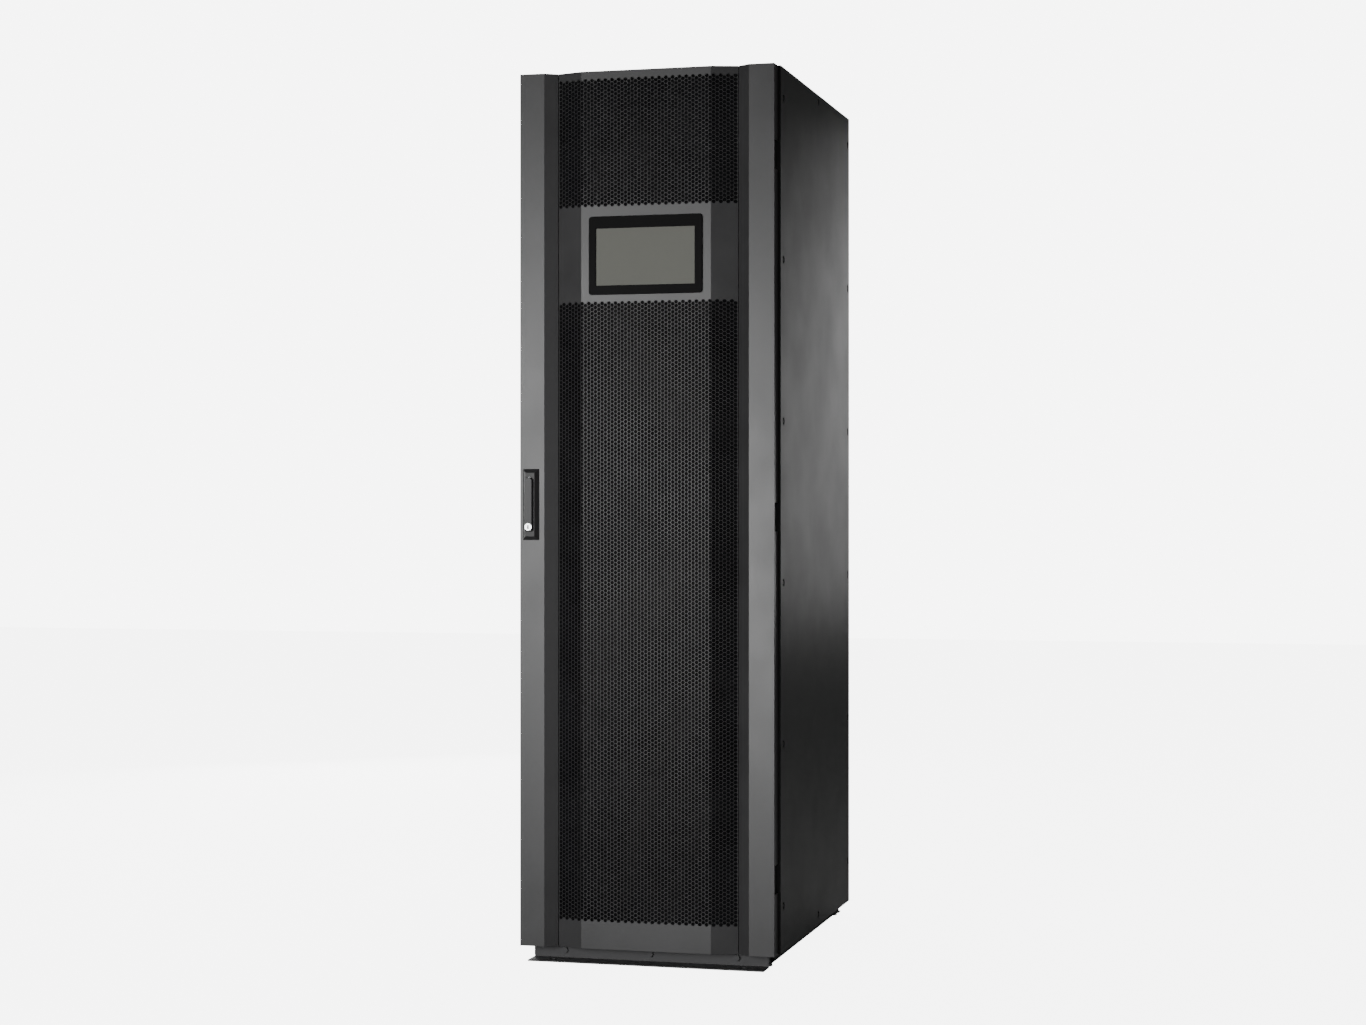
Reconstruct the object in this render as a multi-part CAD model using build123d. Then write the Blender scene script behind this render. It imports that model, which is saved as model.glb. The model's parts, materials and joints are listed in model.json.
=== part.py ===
from build123d import *
import math
import os

# A floor-standing battery cabinet: a steel frame with a perforated front door, a rear door, two side
# panels and a roof, holding eight battery modules and a control unit in 19-inch rails.
# +X is to the right seen from the front, +Y to the back, +Z up. The origin is on the floor in the
# middle of the footprint. All sizes are millimetres.

# ---- driving dimensions ---------------------------------------------------------------------------
WIDTH, DEPTH, HEIGHT = 600.0, 850.0, 2000.0
SHEET = 1.5
PANEL_BOTTOM = 33.0
FRONT_PLANE = -DEPTH / 2 + 39.0   # front of the frame, behind the front door
REAR_PLANE = DEPTH / 2 - 21.0     # back of the frame, in front of the rear door
DOOR_FACE = -DEPTH / 2            # outer face of the front door

# base and anchor angles
BASE_HALF = 274.0
BASE_LOW, BASE_TOP = 6.0, 46.0
BASE_BAR, BASE_WALL = 50.0, 3.0
FOOT_X = BASE_HALF - 20.0
FEET_Y = (FRONT_PLANE + 30.0, REAR_PLANE - 28.0)
FOOT_R, FOOT_HUB_R, FOOT_SCREW_R = 20.0, 10.0, 6.0
ANGLE_HALF, ANGLE_T, ANGLE_TOP = 272.5, 3.0, 33.0
ANGLE_FRONT_LIP, ANGLE_REAR_LIP = -435.5, 429.0
ANCHOR_HOLE_R = 7.0
ANCHOR_X, ANCHOR_FRONT_Y, ANCHOR_REAR_Y = 220.0, -412.0, 416.0
BOLT_XS, BOLT_Z, BOLT_R, BOLT_HOLE_R = (-200.0, 0.0, 200.0), 20.0, 4.0, 4.5

# frame
POST_IN, POST_OUT, POST_DEPTH, POST_WALL = 246.0, 278.0, 70.0, 2.0
ROOF_LOW = HEIGHT - 2.0
TOP_BAR = 40.0
FLOOR_T = 2.0
FLOOR_CUT = (-110.0, 110.0, 250.0, 320.0)
ROOF_CUT = (-150.0, 150.0, 240.0, 320.0)
EARTH_STUD_XS, EARTH_STUD_Y = (188.0, 205.0), FRONT_PLANE + 12.0
EARTH_STUD_R, EARTH_HEAD_R, EARTH_HEAD_H = 2.5, 5.0, 2.5

# side panels and their quarter-turn fasteners
PANEL_RETURN = 16.0
FASTENER_ZS = [135.0 + 359.3 * i for i in range(6)]
FASTENER_YS = (FRONT_PLANE + 29.0, REAR_PLANE - 18.0)
FASTENER_MID_Y, FASTENER_MID_ZS = 22.0, (57.0, 1983.0)
FASTENER_HOLE_R, FASTENER_R, FASTENER_SUNK = 10.0, 9.7, 0.8

# front door: flat outer stiles, a bevel to the seam, then a centre sheet bowed in three facets
DOOR_HALF, DOOR_LOW, DOOR_TOP = 294.0, 32.0, 1999.0
DOOR_DEPTH = 36.0
STILE_IN, SEAM, SEAM_DEPTH = 237.0, 209.5, 18.0
FACET_IN = 150.0
SEAM_GAP = 1.5
REAR_DOOR_DEPTH = 18.5
RETURN_IN = 262.0                 # inner end of both doors' rear flanges
GASKET_W, GASKET_GAP = 11.0, 0.3

# display in the front door
SCREEN_W, SCREEN_H, SCREEN_Z = 227.5, 128.0, 1581.6
BEZEL_W, BEZEL_H, BEZEL_Z, BEZEL_PROUD = 262.5, 175.6, 1584.8, 4.5
BEZEL_CORNER, GLASS_SUNK = 7.0, 1.2
HOUSING_HALF, HOUSING_DROP, HOUSING_RISE = 118.0, 75.0, 78.0

# dust filter mats behind the perforated fields
FILTER_T, FILTER_GAP, FILTER_HALF, FILTER_MARGIN = 3.0, 0.5, 205.8, 20.0

# hinges, each given as axis x, axis y, knuckle radius and pin radius seen from its own door
FRONT_HINGE = (285.0, -412.0, 7.0, 4.0)
REAR_HINGE = (287.0, -418.2, 5.0, 3.0)
HINGE_HEIGHTS = (200.0, 1000.0, 1800.0)
BRACKET_H, LEAF_H, LEAF_GAP = 60.0, 24.0, 0.5
ARM_T, ARM_END = 5.0, -340.0
NOTCH_X = 275.0                   # where a door's return is cut away for the hinge arms
RUN = 0.05                        # running clearance of pins and shafts

# swing handle
HANDLE_X, SPINDLE_Z = -269.0, 1083.5
PLATE_W, PLATE_LOW, PLATE_TOP = 38.5, 947.4, 1108.3
PLATE_PROUD, PLATE_BEVEL, PLATE_SHIFT = 11.0, 8.4, 1.6
LEVER_W, LEVER_T, LEVER_LOW, LEVER_TOP = 18.4, 8.0, 967.6, 1089.0
LEVER_GAP = 0.3
LOCK_R, LOCK_Z = 8.25, 977.5
KEY_W, KEY_H = 3.2, 8.4
LEVER_BACK = DOOR_FACE - PLATE_PROUD - LEVER_GAP
LEVER_FRONT = LEVER_BACK - LEVER_T
LEVER_TILT = 25.0
PIVOT_Y = LEVER_BACK - 3.5
PIVOT_R = 1.5
HEAD_R, HEAD_W = 3.0, 8.0
SPINDLE_R = 6.0

# pinion, lock rods, their guides and catch plates
PITCH_R, TEETH, MODULE = 10.0, 20, 1.0
PRESSURE_ANGLE = math.radians(20)
ROD_Y0, ROD_Y1, ROD_W = -407.0, -403.0, 9.75
ROD_ROOT = PITCH_R + 1.25 * MODULE
ROD_ENDS = (62.0, 1972.0)
GUIDE_ZS = (160.0, 560.0, 900.0, 1300.0, 1600.0, 1900.0)
KEEPER_ZS = (1962.0, 1982.0)

# rack interior
UNIT = 44.45
RAIL_Y_FRONT, RAIL_Y_REAR = -330.0, 334.0
MODULES, MODULE_UNITS, MODULE_BASE = 8, 4, 62.0
CASE_HALF, CASE_DEPTH, EAR_HALF = 219.0, 580.0, 241.3
PANEL_T = 3.0
CONTROL_UNITS = 5
SCREW_X = 232.5
CELL_PITCH, CELL_GAP, CELLS_ACROSS = 50.0, 0.5, 8

# pull handles, plugs and cables
GRIP_X, GRIP_REACH, GRIP_T, GRIP_HALF = 165.0, 30.0, 9.0, 7.0
POSITIVE_X, NEGATIVE_X, TERMINAL_RISE = 50.0, 100.0, 118.0
PLUG_R, PLUG_LEN, GLAND_R, GLAND_LEN = 12.0, 22.0, 8.0, 18.0
CABLE_R = 5.0
CABLE_Y = RAIL_Y_FRONT - PANEL_T - PLUG_LEN / 2
CONTROL_PLUG_X = 206.0

# main breaker and start button on the control unit
BREAKER_X0, BREAKER_X1, BREAKER_HALF_H = -160.0, -70.0, 65.0
TOGGLE_HALF, TOGGLE_ARM = 28.0, 30.0
TOGGLE_HUB_R, TOGGLE_PIN_R = 8.0, 2.5
BUTTON_X, BUTTON_R, BUTTON_RING_R, BUTTON_BODY_R = 30.0, 9.5, 16.0, 13.0

NODES = {}


# ---- small builders -------------------------------------------------------------------------------
def block(x0, x1, y0, y1, z0, z1):
    """A box between two corners."""
    size = Box(abs(x1 - x0), abs(y1 - y0), abs(z1 - z0))
    return Pos((x0 + x1) / 2, (y0 + y1) / 2, (z0 + z1) / 2) * size


def rod_x(r, y, z, x0, x1):
    return Pos((x0 + x1) / 2, y, z) * Rot(0, 90, 0) * Cylinder(r, abs(x1 - x0))


def rod_y(r, x, z, y0, y1):
    return Pos(x, (y0 + y1) / 2, z) * Rot(90, 0, 0) * Cylinder(r, abs(y1 - y0))


def rod_z(r, x, y, z0, z1):
    return Pos(x, y, (z0 + z1) / 2) * Cylinder(r, abs(z1 - z0))


def column(points, z0, z1):
    """A plan outline carried straight up from z0 to z1."""
    return extrude(Plane.XY.offset(z0) * make_face(Polyline(*points, close=True)), z1 - z0)


def strip(points, t):
    """The plan outline of a folded sheet of thickness t along a centre line, with mitred corners."""
    sides = ([], [])
    for i, (x, y) in enumerate(points):
        ends = points[max(i - 1, 0)], (x, y), points[min(i + 1, len(points) - 1)]
        normals = []
        for a, b in zip(ends, ends[1:]):
            length = math.hypot(b[0] - a[0], b[1] - a[1])
            if length > 0:
                normals.append(((a[1] - b[1]) / length, (b[0] - a[0]) / length))
        nx = sum(n[0] for n in normals)
        ny = sum(n[1] for n in normals)
        scale = t / 2 / (nx * normals[0][0] + ny * normals[0][1])
        for side, sign in zip(sides, (1, -1)):
            side.append((x + sign * nx * scale, y + sign * ny * scale))
    return sides[0] + sides[1][::-1]


def mirror_x(shape):
    return mirror(shape, about=Plane.YZ)


def both(shape):
    """The shape and its mirror image on the other side of the cabinet."""
    return [shape, mirror_x(shape)]


def to_rear(shape):
    """A shape made for the front door, turned about +Z to the rear door."""
    return Rot(0, 0, 180) * shape


def tube(axis, x0, x1, y0, y1, z0, z1, wall):
    """A rectangular tube that is open along one axis."""
    insets = [wall, wall, wall]
    insets["xyz".index(axis)] = -1.0
    ix, iy, iz = insets
    bore = block(x0 + ix, x1 - ix, y0 + iy, y1 - iy, z0 + iz, z1 - iz)
    return block(x0, x1, y0, y1, z0, z1) - bore


def hex_head(af, height, x, z, y0):
    """A hexagon head whose seat is at y0 and which stands forward of it."""
    face = Pos(x, y0, z) * Rot(90, 0, 0) * RegularPolygon(af / 2, 6, major_radius=False)
    return extrude(face, height)


def node(name, *shapes):
    """One sub-part: its separate solids, under the node's name."""
    solids = []
    for shape in shapes:
        items = shape if isinstance(shape, list) else [shape]
        for item in items:
            solids.extend(item.solids())
    NODES[name] = solids


# ---- base -----------------------------------------------------------------------------------------
def base():
    front0, rear1 = FRONT_PLANE + 5.0, REAR_PLANE - 3.0
    front1, rear0 = front0 + BASE_BAR, rear1 - BASE_BAR
    front = tube("x", -BASE_HALF, BASE_HALF, front0, front1, BASE_LOW, BASE_TOP, BASE_WALL)
    rear = tube("x", -BASE_HALF, BASE_HALF, rear0, rear1, BASE_LOW, BASE_TOP, BASE_WALL)
    side = tube("y", BASE_HALF - 40.0, BASE_HALF, front1, rear0, BASE_LOW, BASE_TOP, BASE_WALL)
    for x in (-FOOT_X, FOOT_X):
        front -= rod_z(FOOT_SCREW_R + 0.5, x, FEET_Y[0], 0, BASE_LOW + 10)
        rear -= rod_z(FOOT_SCREW_R + 0.5, x, FEET_Y[1], 0, BASE_LOW + 10)
    for x in BOLT_XS:
        front -= rod_y(BOLT_HOLE_R, x, BOLT_Z, front0 - 1, front0 + 10)
        rear -= rod_y(BOLT_HOLE_R, x, BOLT_Z, rear1 - 10, rear1 + 1)
    node("base_frame", front, rear, both(side))

    feet = []
    for y in FEET_Y:
        foot = rod_z(FOOT_R, FOOT_X, y, 0, 4) + rod_z(FOOT_HUB_R, FOOT_X, y, 4, BASE_LOW)
        foot += rod_z(FOOT_SCREW_R, FOOT_X, y, BASE_LOW, BASE_TOP - 12)
        feet += both(foot)
    node("levelling_feet", feet)

    angles = []
    bolts = []
    for lip, face, sign, hole_y in (
        (ANGLE_FRONT_LIP, front0, -1, ANCHOR_FRONT_Y),
        (ANGLE_REAR_LIP, rear1, 1, ANCHOR_REAR_Y),
    ):
        outer = face + sign * ANGLE_T
        flat = block(-ANGLE_HALF, ANGLE_HALF, lip, face, 0, ANGLE_T)
        angle = flat + block(-ANGLE_HALF, ANGLE_HALF, outer, face, 0, ANGLE_TOP)
        for x in (-ANCHOR_X, ANCHOR_X):
            angle -= rod_z(ANCHOR_HOLE_R, x, hole_y, -1, ANGLE_T + 1)
        for x in BOLT_XS:
            angle -= rod_y(BOLT_HOLE_R, x, BOLT_Z, face - 5, face + 5)
            seat = -abs(outer)
            bolt = hex_head(13.0, 5.3, x, BOLT_Z, seat) + rod_y(BOLT_R, x, BOLT_Z, seat, seat + 14.0)
            bolts.append(bolt if sign < 0 else to_rear(bolt))
        angles.append(angle)
    node("anchor_angles", angles)
    node("anchor_angle_bolts", bolts)


# ---- frame and skins ------------------------------------------------------------------------------
def frame():
    front1, rear0 = FRONT_PLANE + POST_DEPTH, REAR_PLANE - POST_DEPTH
    front = tube("z", POST_IN, POST_OUT, FRONT_PLANE, front1, BASE_TOP, ROOF_LOW, POST_WALL)
    rear = tube("z", POST_IN, POST_OUT, rear0, REAR_PLANE, BASE_TOP, ROOF_LOW, POST_WALL)
    node("corner_posts", both(front), both(rear))

    low = ROOF_LOW - TOP_BAR
    cross = tube("x", -POST_IN, POST_IN, FRONT_PLANE, FRONT_PLANE + TOP_BAR, low, ROOF_LOW, POST_WALL)
    back = tube("x", -POST_IN, POST_IN, REAR_PLANE - TOP_BAR, REAR_PLANE, low, ROOF_LOW, POST_WALL)
    side = tube("y", POST_IN, POST_OUT, front1, rear0, low, ROOF_LOW, POST_WALL)
    floor = block(-POST_IN + 1, POST_IN - 1, FRONT_PLANE, REAR_PLANE, BASE_TOP, BASE_TOP + FLOOR_T)
    node("floor_plate", floor - block(*FLOOR_CUT, BASE_TOP - 1, BASE_TOP + FLOOR_T + 1))
    roof = block(-WIDTH / 2, WIDTH / 2, FRONT_PLANE, REAR_PLANE - 0.5, ROOF_LOW, HEIGHT)
    roof -= block(*ROOF_CUT, ROOF_LOW - 1, HEIGHT + 1)
    studs = []
    for x in EARTH_STUD_XS:
        stud = rod_z(EARTH_HEAD_R, x, EARTH_STUD_Y, HEIGHT, HEIGHT + EARTH_HEAD_H)
        stud += rod_z(EARTH_STUD_R, x, EARTH_STUD_Y, ROOF_LOW - 8, HEIGHT)
        studs.append(stud)
        hole = rod_z(EARTH_STUD_R + 0.1, x, EARTH_STUD_Y, ROOF_LOW - 10, HEIGHT + 1)
        roof -= hole
        cross -= hole
    node("top_frame", cross, back, both(side))
    node("roof_panel", roof)
    node("roof_earth_studs", studs)
    x0, x1, y0, y1 = ROOF_CUT
    edging = block(x0, x1, y0, y1, ROOF_LOW - 3, HEIGHT + 1)
    edging -= block(x0 + 4, x1 - 4, y0 + 4, y1 - 4, ROOF_LOW - 4, HEIGHT + 2)
    node("roof_cable_edging", edging)


def side_panels():
    outer, top = WIDTH / 2, ROOF_LOW
    front, rear, inner = FRONT_PLANE, REAR_PLANE - 0.5, outer - PANEL_RETURN
    skin = block(outer - SHEET, outer, front, rear, PANEL_BOTTOM, top)
    panel = skin + block(inner, outer, front, front + SHEET, PANEL_BOTTOM, top)
    panel += block(inner, outer, rear - SHEET, rear, PANEL_BOTTOM, top)
    panel += block(inner, outer, front, rear, PANEL_BOTTOM, PANEL_BOTTOM + SHEET)
    panel += block(inner, outer, front, rear, top - SHEET, top)
    places = [(y, z) for y in FASTENER_YS for z in FASTENER_ZS]
    places += [(FASTENER_MID_Y, z) for z in FASTENER_MID_ZS]
    fasteners = []
    for y, z in places:
        panel -= rod_x(FASTENER_HOLE_R, y, z, outer - 5, outer + 5)
        stud = rod_x(FASTENER_R, y, z, outer - 8, outer - FASTENER_SUNK)
        stud -= block(outer - 2.2, outer, y - 6.0, y + 6.0, z - 1.0, z + 1.0)
        reach = BASE_HALF + 10 if z < BASE_TOP + 20 else POST_OUT
        stud += rod_x(4.0, y, z, reach, outer - 8)
        fasteners += both(stud)
    node("side_panel_right", panel)
    node("side_panel_left", mirror_x(panel))
    node("side_panel_fasteners", fasteners)


# ---- hinges, the same for both doors --------------------------------------------------------------
def hinge_bracket(hinge, z):
    """The half on the frame: an arm on the post's side with a knuckle and its pin."""
    x, y, knuckle_r, pin_r = hinge
    low, high = z - BRACKET_H / 2, z + BRACKET_H / 2
    arm = block(POST_OUT, POST_OUT + ARM_T, y, ARM_END, low, high)
    web = block(POST_OUT, x, y, y + 4.0, low, high)
    knuckle = rod_z(knuckle_r, x, y, low, high)
    pin = rod_z(pin_r, x, y, low - LEAF_H, high + LEAF_H)
    return arm + web + knuckle + pin


def hinge_leaf(hinge, z):
    """The half on the door: a plate on the inner face of the stile with a sleeve above and below."""
    x, y, knuckle_r, pin_r = hinge
    plate_y = DOOR_FACE + SHEET
    parts = []
    for z0 in (z - BRACKET_H / 2 - LEAF_H, z + BRACKET_H / 2 + LEAF_GAP):
        z1 = z0 + LEAF_H - LEAF_GAP
        leaf = block(RETURN_IN, x + 4, plate_y, plate_y + 4, z0, z1)
        leaf += block(x - 4, x + 4, plate_y, y, z0, z1)
        leaf += rod_z(knuckle_r, x, y, z0, z1)
        parts.append(leaf - rod_z(pin_r + RUN, x, y, z0 - 1, z1 + 1))
    return parts


def hinges():
    brackets = []
    for name, hinge, place in (("front", FRONT_HINGE, Location()), ("rear", REAR_HINGE, Rot(0, 0, 180))):
        leaves = []
        for z in HINGE_HEIGHTS:
            brackets.append(place * hinge_bracket(hinge, z))
            leaves += [place * leaf for leaf in hinge_leaf(hinge, z)]
        node(name + "_hinge_leaves", leaves)
    node("hinge_brackets", brackets)


def hinge_notches(start, depth, half):
    """The cut-outs in a door's return that the hinge arms swing through."""
    back = DOOR_FACE + depth + 1
    notches = []
    for z in HINGE_HEIGHTS:
        notches.append(block(NOTCH_X, DOOR_HALF + 1, DOOR_FACE + start, back, z - half, z + half))
    return notches


# ---- front door -----------------------------------------------------------------------------------
def front_door():
    half = SHEET / 2
    edge, face, back = DOOR_HALF - half, DOOR_FACE + half, DOOR_FACE + DOOR_DEPTH - half
    seam_y = DOOR_FACE + SEAM_DEPTH
    lip_y = seam_y + 12
    line = [(RETURN_IN, back), (edge, back), (edge, face), (STILE_IN, face), (SEAM + half, seam_y)]
    stile = column(strip(line + [(SEAM + half, lip_y)], SHEET), DOOR_LOW, DOOR_TOP)
    right = stile
    for notch in hinge_notches(7.0, DOOR_DEPTH, BRACKET_H / 2 + 2):
        right = right - notch
    left = mirror_x(stile) - rod_y(SPINDLE_R + 1, HANDLE_X, SPINDLE_Z, DOOR_FACE - 1, DOOR_FACE + 3)
    rod_slot = (HANDLE_X - ROD_ROOT - ROD_W - 1.5, HANDLE_X - ROD_ROOT + 4.75)
    left -= block(*rod_slot, back - 2, back + 2, KEEPER_ZS[0] - 8, DOOR_TOP - SHEET)

    inside = SEAM + 2.6
    cap_line = [
        (RETURN_IN, back - half),
        (edge - half, back - half),
        (edge - half, face + half),
        (STILE_IN + 0.5, face + half),
        (inside, seam_y + 1.2),
        (inside, back - half),
    ]
    caps = []
    for z0 in (DOOR_LOW, DOOR_TOP - SHEET):
        caps += both(column(cap_line, z0, z0 + SHEET))
    node("front_door_frame", left, right, caps)

    sheet_x = SEAM - SEAM_GAP - half
    bow = [(FACET_IN, DOOR_FACE + 1 + half), (sheet_x, seam_y + half), (sheet_x, lip_y - 1)]
    sheet_line = [(-x, y) for x, y in bow[::-1]] + bow
    sheet = column(strip(sheet_line, SHEET), DOOR_LOW, DOOR_TOP)
    end = bow[:2] + [(sheet_x, back)]
    end_line = [(-x, y) for x, y in end[::-1]] + end
    for z0 in (DOOR_LOW, DOOR_TOP - SHEET):
        sheet += column(end_line, z0, z0 + SHEET)         # folded flange that closes the sheet's end
    low, high = SCREEN_Z - HOUSING_DROP, SCREEN_Z + HOUSING_RISE
    sheet -= block(-HOUSING_HALF - 2, HOUSING_HALF + 2, DOOR_FACE - 1, DOOR_FACE + 5, low, high)
    node("front_door_centre_sheet", sheet)
    node("front_door_gasket", gasket_bars(DOOR_FACE + DOOR_DEPTH, FRONT_PLANE - GASKET_GAP))

    ahead = SHEET + FILTER_GAP + FILTER_T / 2
    slope = (SEAM_DEPTH - 1) / (sheet_x - FACET_IN)
    mat = [(FACET_IN, DOOR_FACE + 1 + ahead)]
    mat.append((FILTER_HALF, mat[0][1] + slope * (FILTER_HALF - FACET_IN)))
    outline = strip([(-x, y) for x, y in mat[::-1]] + mat, FILTER_T)
    lower = column(outline, DOOR_LOW + FILTER_MARGIN, low - FILTER_GAP)
    upper = column(outline, high + FILTER_GAP, DOOR_TOP - FILTER_MARGIN)
    node("front_door_filter", lower, upper)


def display():
    """A touch display let into the door: a moulded bezel, the glass and a box behind the sheet."""
    seat = DOOR_FACE + 1
    screen = (-SCREEN_W / 2, SCREEN_W / 2)
    heights = (SCREEN_Z - SCREEN_H / 2, SCREEN_Z + SCREEN_H / 2)
    bezel = Pos(0, seat, BEZEL_Z) * Rot(90, 0, 0) * RectangleRounded(BEZEL_W, BEZEL_H, BEZEL_CORNER)
    bezel = extrude(bezel, BEZEL_PROUD) - block(*screen, DOOR_FACE - 10, DOOR_FACE + 5, *heights)
    node("display_bezel", bezel)
    node("display_screen", block(*screen, seat - BEZEL_PROUD + GLASS_SUNK, seat, *heights))
    low, high = SCREEN_Z - HOUSING_DROP + 2, SCREEN_Z + HOUSING_RISE - 2
    node("display_housing", block(-HOUSING_HALF, HOUSING_HALF, seat, DOOR_FACE + DOOR_DEPTH - 2, low, high))


def gasket_bars(y0, y1):
    """Four strips of sealing profile on the back of a door."""
    low, high = DOOR_LOW + 14, DOOR_TOP - 14
    return both(block(RETURN_IN, RETURN_IN + GASKET_W, y0, y1, low, high)) + [
        block(-RETURN_IN, RETURN_IN, y0, y1, low, low + GASKET_W),
        block(-RETURN_IN, RETURN_IN, y0, y1, high - GASKET_W, high),
    ]


def rear_door():
    half = SHEET / 2
    edge, face = DOOR_HALF - half, DOOR_FACE + half
    back = DOOR_FACE + REAR_DOOR_DEPTH - half
    side = [(edge, face), (edge, back), (RETURN_IN, back)]
    pan = column(strip([(-x, y) for x, y in side[::-1]] + side, SHEET), DOOR_LOW, DOOR_TOP)
    for notch in hinge_notches(5.0, REAR_DOOR_DEPTH, BRACKET_H / 2 + LEAF_H + 2):
        pan = pan - notch
    pan -= rod_y(SPINDLE_R + 1, HANDLE_X, SPINDLE_Z, DOOR_FACE - 1, DOOR_FACE + 3)
    inner = DOOR_HALF - SHEET
    ends = []
    for z0, flange in ((DOOR_LOW, DOOR_LOW), (DOOR_TOP - SHEET, DOOR_TOP - 25)):
        ends.append(block(-inner, inner, DOOR_FACE + SHEET, back - half, z0, z0 + SHEET))
        ends.append(block(-RETURN_IN, RETURN_IN, back - half, back + half, flange, flange + 25))
    node("rear_door_panel", to_rear(pan), [to_rear(e) for e in ends])
    gasket = gasket_bars(DOOR_FACE + REAR_DOOR_DEPTH, -REAR_PLANE - GASKET_GAP)
    node("rear_door_gasket", [to_rear(g) for g in gasket])


# ---- swing handle ---------------------------------------------------------------------------------
def escutcheon():
    middle = (PLATE_LOW + PLATE_TOP) / 2
    outline = Rectangle(PLATE_W, PLATE_TOP - PLATE_LOW)
    face = Pos(HANDLE_X + PLATE_SHIFT, DOOR_FACE, middle) * Rot(90, 0, 0) * outline
    taper = math.degrees(math.atan(PLATE_BEVEL / PLATE_PROUD))
    body = extrude(face, PLATE_PROUD, taper=taper)
    return body - rod_y(SPINDLE_R + RUN, HANDLE_X, SPINDLE_Z, DOOR_FACE - 20, DOOR_FACE + 5)


def lever():
    half = LEVER_W / 2
    outline = [
        (HANDLE_X - half, LEVER_LOW + 3),
        (HANDLE_X - half + 3, LEVER_LOW),
        (HANDLE_X + half - 3, LEVER_LOW),
        (HANDLE_X + half, LEVER_LOW + 3),
        (HANDLE_X + half, LEVER_TOP - 5),
        (HANDLE_X + 4, LEVER_TOP),
        (HANDLE_X - 4, LEVER_TOP),
        (HANDLE_X - half, LEVER_TOP - 5),
    ]
    plane = Plane(origin=(0, LEVER_BACK, 0), x_dir=(1, 0, 0), z_dir=(0, -1, 0))
    body = extrude(plane * make_face(Polyline(*outline, close=True)), LEVER_T)
    body = chamfer(body.faces().sort_by(Axis.Y)[0].edges(), 1.5)
    slot = HEAD_W / 2 + 0.2
    reach = HEAD_R + 0.3
    body -= rod_x(reach, PIVOT_Y, SPINDLE_Z, HANDLE_X - slot, HANDLE_X + slot)
    low, high = SPINDLE_Z - 6.5, SPINDLE_Z + 6.5
    body -= block(HANDLE_X - slot, HANDLE_X + slot, PIVOT_Y, LEVER_BACK + 1, low, high)
    body -= rod_x(PIVOT_R + RUN, PIVOT_Y, SPINDLE_Z, HANDLE_X - 7, HANDLE_X + 7)
    relief = Pos(HANDLE_X, PIVOT_Y, SPINDLE_Z) * Rot(LEVER_TILT + 2, 0, 0) * Pos(0, 10 + 3.4, 6)
    body -= relief * Box(LEVER_W + 2, 20, 28)
    return body - rod_y(LOCK_R + RUN, HANDLE_X, LOCK_Z, LEVER_FRONT - 1, LEVER_BACK + 1)


def lock_cylinder():
    plug = rod_y(LOCK_R, HANDLE_X, LOCK_Z, LEVER_FRONT - 0.5, LEVER_BACK - 0.7)
    x0, x1 = HANDLE_X - KEY_W / 2, HANDLE_X + KEY_W / 2
    return plug - block(x0, x1, LEVER_FRONT - 1, LEVER_FRONT + 4, LOCK_Z - KEY_H / 2, LOCK_Z + KEY_H / 2)


def gear_outline():
    """The pinion's outline in its own plane, with a tooth gap on each horizontal side."""
    base = PITCH_R * math.cos(PRESSURE_ANGLE)
    at_pitch = math.tan(PRESSURE_ANGLE) - PRESSURE_ANGLE
    flank = []
    for i in range(4):
        r = base + i * MODULE / 2
        a = math.acos(base / r)
        flank.append((r, math.pi / (2 * TEETH) + at_pitch - (math.tan(a) - a)))
    root = PITCH_R - 1.25 * MODULE
    points = []
    for i in range(TEETH):
        middle = 2 * math.pi * (i + 0.5) / TEETH
        run = [(root, -flank[0][1])] + [(r, -h) for r, h in flank]
        run += [(r, h) for r, h in flank[::-1]] + [(root, flank[0][1])]
        for r, turn in run:
            points.append((r * math.cos(middle + turn), r * math.sin(middle + turn)))
    return points


def spindle(rack):
    """The turning core: a tang that carries the lever, a shaft, and a pinion or a latch tongue."""
    tongue_y = DOOR_FACE + 11
    shaft = rod_y(SPINDLE_R, HANDLE_X, SPINDLE_Z, LEVER_BACK + 0.2, ROD_Y0 if rack else tongue_y)
    x0, x1 = HANDLE_X - HEAD_W / 2, HANDLE_X + HEAD_W / 2
    head = rod_x(HEAD_R, PIVOT_Y, SPINDLE_Z, x0, x1)
    head += block(x0, x1, PIVOT_Y, LEVER_BACK + 2, SPINDLE_Z - 2.5, SPINDLE_Z + 2.5)
    pin = rod_x(PIVOT_R, PIVOT_Y, SPINDLE_Z, HANDLE_X - 6.8, HANDLE_X + 6.8)
    if rack:
        plane = Plane(origin=(HANDLE_X, ROD_Y1 + 2, SPINDLE_Z), x_dir=(1, 0, 0), z_dir=(0, -1, 0))
        end = extrude(plane * make_face(Polyline(*gear_outline(), close=True)), 8)
    else:
        x0, x1 = HANDLE_X - SPINDLE_R, HANDLE_X + 24
        end = block(x0, x1, tongue_y, tongue_y + 3, SPINDLE_Z - SPINDLE_R, SPINDLE_Z + SPINDLE_R)
    return shaft + head + pin + end


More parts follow.
